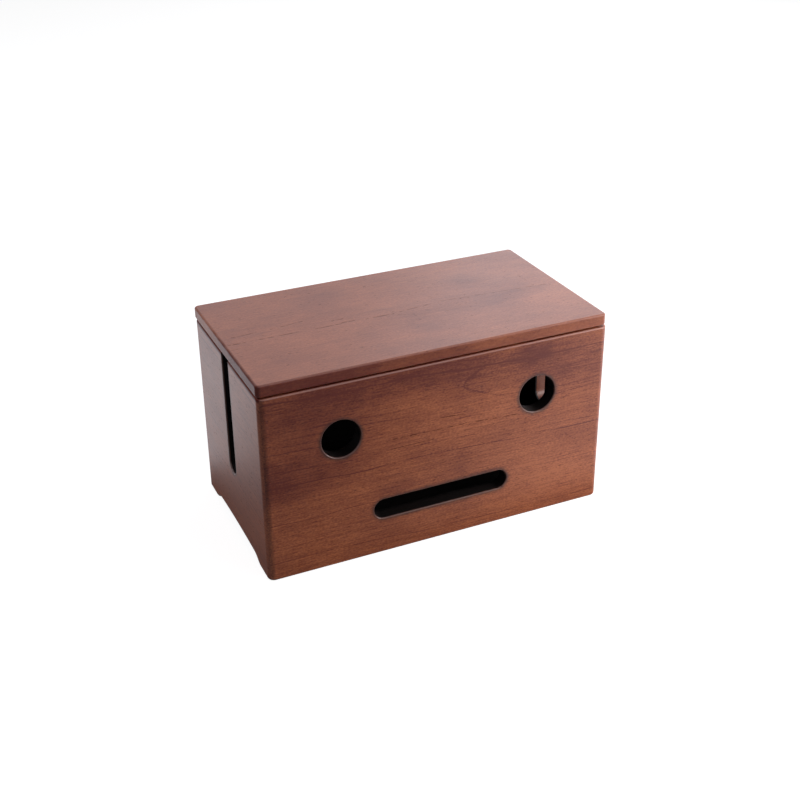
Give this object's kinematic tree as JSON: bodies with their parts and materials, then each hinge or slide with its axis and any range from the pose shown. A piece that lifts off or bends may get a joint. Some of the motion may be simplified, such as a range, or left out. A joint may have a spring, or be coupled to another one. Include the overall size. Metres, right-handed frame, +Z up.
{
  "type": "cable management box",
  "caption": "Hardwood box with a lift-off lid that hides a power strip and its cords; round cable holes and a long slot in front, an open-topped cord slot in each end board.",
  "frame": {"origin": "centre of the footprint, on the surface that the box stands on", "axes": "+X along the length, to the right of someone facing the front board; +Y from the front board to the back board; +Z up"},
  "size_m": [0.24, 0.13, 0.138],
  "materials": {
    "stained_wood": "walnut-stained rubberwood under satin lacquer",
    "black_stained_wood": "black-stained wood under satin lacquer",
    "bare_wood": "bare rubberwood, glued in",
    "screw_steel": "zinc-plated"
  },
  "bodies": {
    "box": {"front_panel": "stained_wood", "back_panel": "stained_wood", "left_side_panel": "stained_wood", "right_side_panel": "stained_wood", "bottom_board": "black_stained_wood", "corner_spline_front_left": "bare_wood", "corner_spline_front_right": "bare_wood", "corner_spline_back_left": "bare_wood", "corner_spline_back_right": "bare_wood"},
    "lid": {"lid_board": "stained_wood", "lid_batten_left": "black_stained_wood", "lid_batten_right": "black_stained_wood", "lid_batten_screws": "screw_steel"}
  },
  "joints": [
    {"name": "lid_lift", "type": "slide", "parent": "box", "child": "lid", "axis": [0, 0, 1], "range_m": [0, 0.12]}
  ]
}
